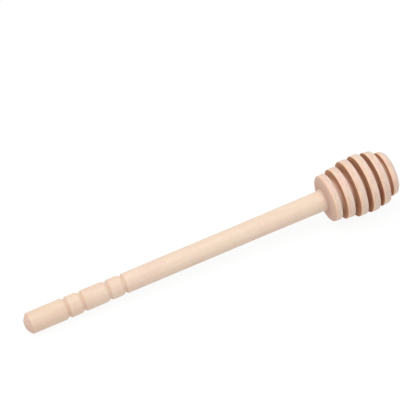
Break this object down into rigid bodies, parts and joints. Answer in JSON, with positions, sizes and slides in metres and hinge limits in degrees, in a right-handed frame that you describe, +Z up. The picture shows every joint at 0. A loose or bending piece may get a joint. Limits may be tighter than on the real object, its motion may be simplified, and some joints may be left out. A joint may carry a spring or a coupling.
{
  "type": "honey dipper",
  "caption": "Turned wooden honey dipper: a slim handle with a grooved grip, glued by a round tenon into a barrel-shaped head of thin spaced discs.",
  "frame": {"origin": "centre of the bounding box, on the flat surface that the dipper lies on", "axes": "+X along the dipper's length, from the butt of the handle to the tip of the head; +Z up; the dipper lies on its butt and on the third disc of the head, so its own axis climbs 3.0 degrees towards the head"},
  "size_m": [0.1604, 0.024, 0.024],
  "materials": {
    "handle_wood": "bare pale close-grained wood, sanded satin",
    "head_wood": "bare pale close-grained wood, sanded satin on the rims, as cut in the grooves"
  },
  "bodies": {
    "root": {"handle": "handle_wood", "head": "head_wood"}
  },
  "joints": []
}
